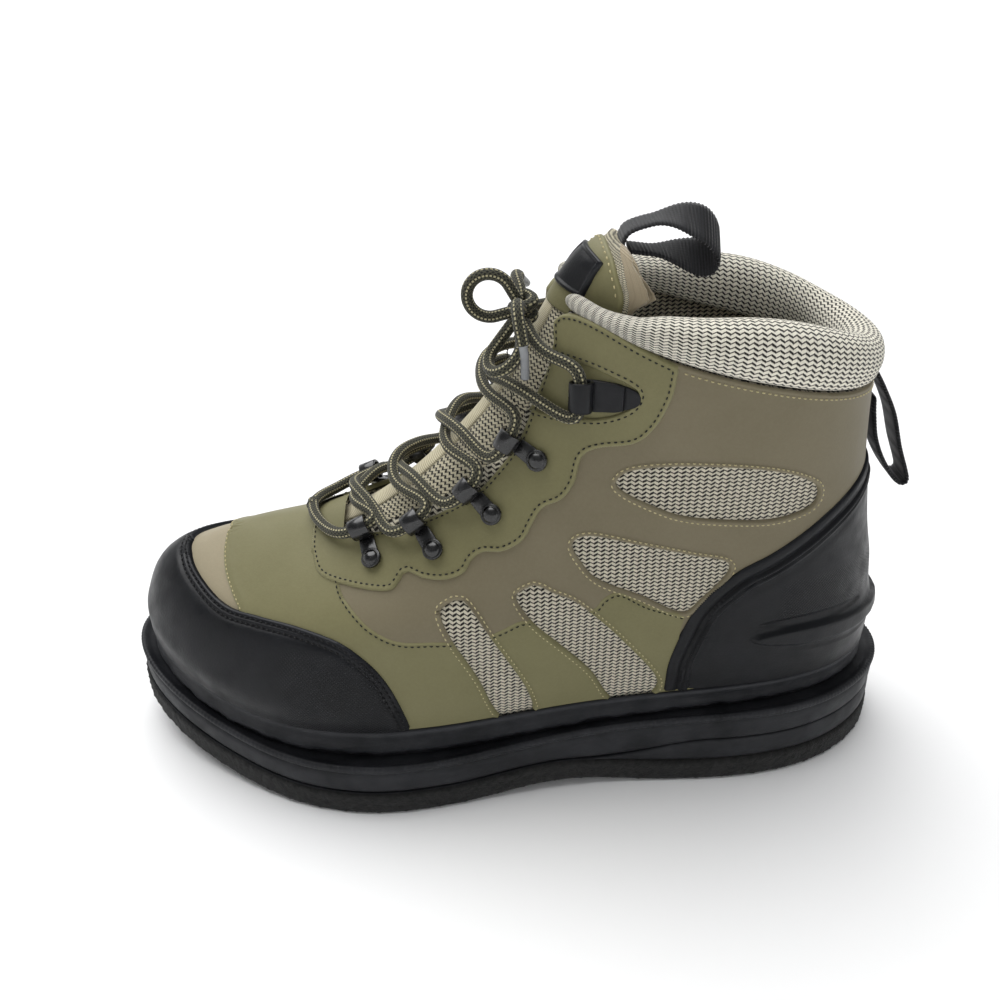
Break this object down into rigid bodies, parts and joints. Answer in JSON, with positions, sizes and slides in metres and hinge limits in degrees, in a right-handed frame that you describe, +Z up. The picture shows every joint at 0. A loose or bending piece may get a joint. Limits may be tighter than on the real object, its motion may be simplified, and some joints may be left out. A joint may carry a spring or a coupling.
{
  "type": "wading boot",
  "caption": "A lace-up left wading boot with a felt sole, rubber toe bumper and heel counter, leather upper, padded collar and pull loops.",
  "frame": {"origin": "on the ground under the middle of the heel, at the heel's flat resting spot", "axes": "+X from heel to toe, +Y towards the outer side of the foot, +Z up"},
  "size_m": [0.32, 0.1247, 0.2177],
  "materials": {
    "felt": "dense needled felt, near black",
    "wedge_foam": "matt moulded foam rubber",
    "midsole_rubber": "matt moulded rubber",
    "rand_rubber": "smooth dark rubber strip",
    "insole_textile": "textile-covered foam",
    "upper_leather": "matt coated leather, olive",
    "bumper_rubber": "smooth black moulded rubber",
    "eyestay_leather": "smooth coated leather, taupe",
    "collar_knit": "cream and dark padded knit",
    "tongue_knit": "cream and dark knit with leather panels",
    "patch_rubber": "plain bordered rubber patch",
    "webbing": "ribbed black webbing",
    "hook_metal": "glossy black enamel",
    "lace": "round braided cord, dark with cream tracer"
  },
  "bodies": {
    "root": {"outsole_felt": "felt", "heel_wedge": "wedge_foam", "midsole": "midsole_rubber", "rand": "rand_rubber", "insole": "insole_textile", "upper": "upper_leather", "toe_cap": "bumper_rubber", "heel_counter": "bumper_rubber", "eyestay": "eyestay_leather", "heel_strip": "upper_leather", "collar": "collar_knit", "tongue": "tongue_knit", "tongue_patch": "patch_rubber", "tongue_pull_loop": "webbing", "heel_pull_loop": "webbing", "lace_hook_outer_1": "hook_metal", "lace_hook_inner_1": "hook_metal", "lace_hook_outer_2": "hook_metal", "lace_hook_inner_2": "hook_metal", "lace_hook_outer_3": "hook_metal", "lace_hook_inner_3": "hook_metal", "lace_hook_outer_4": "hook_metal", "lace_hook_inner_4": "hook_metal", "lace_tab_outer": "webbing", "lace_tab_inner": "webbing", "lace_crossings": "lace", "lace_knot": "lace", "lace_loop_a": "lace", "lace_loop_b": "lace", "lace_end_a": "lace", "lace_end_b": "lace"}
  },
  "joints": []
}
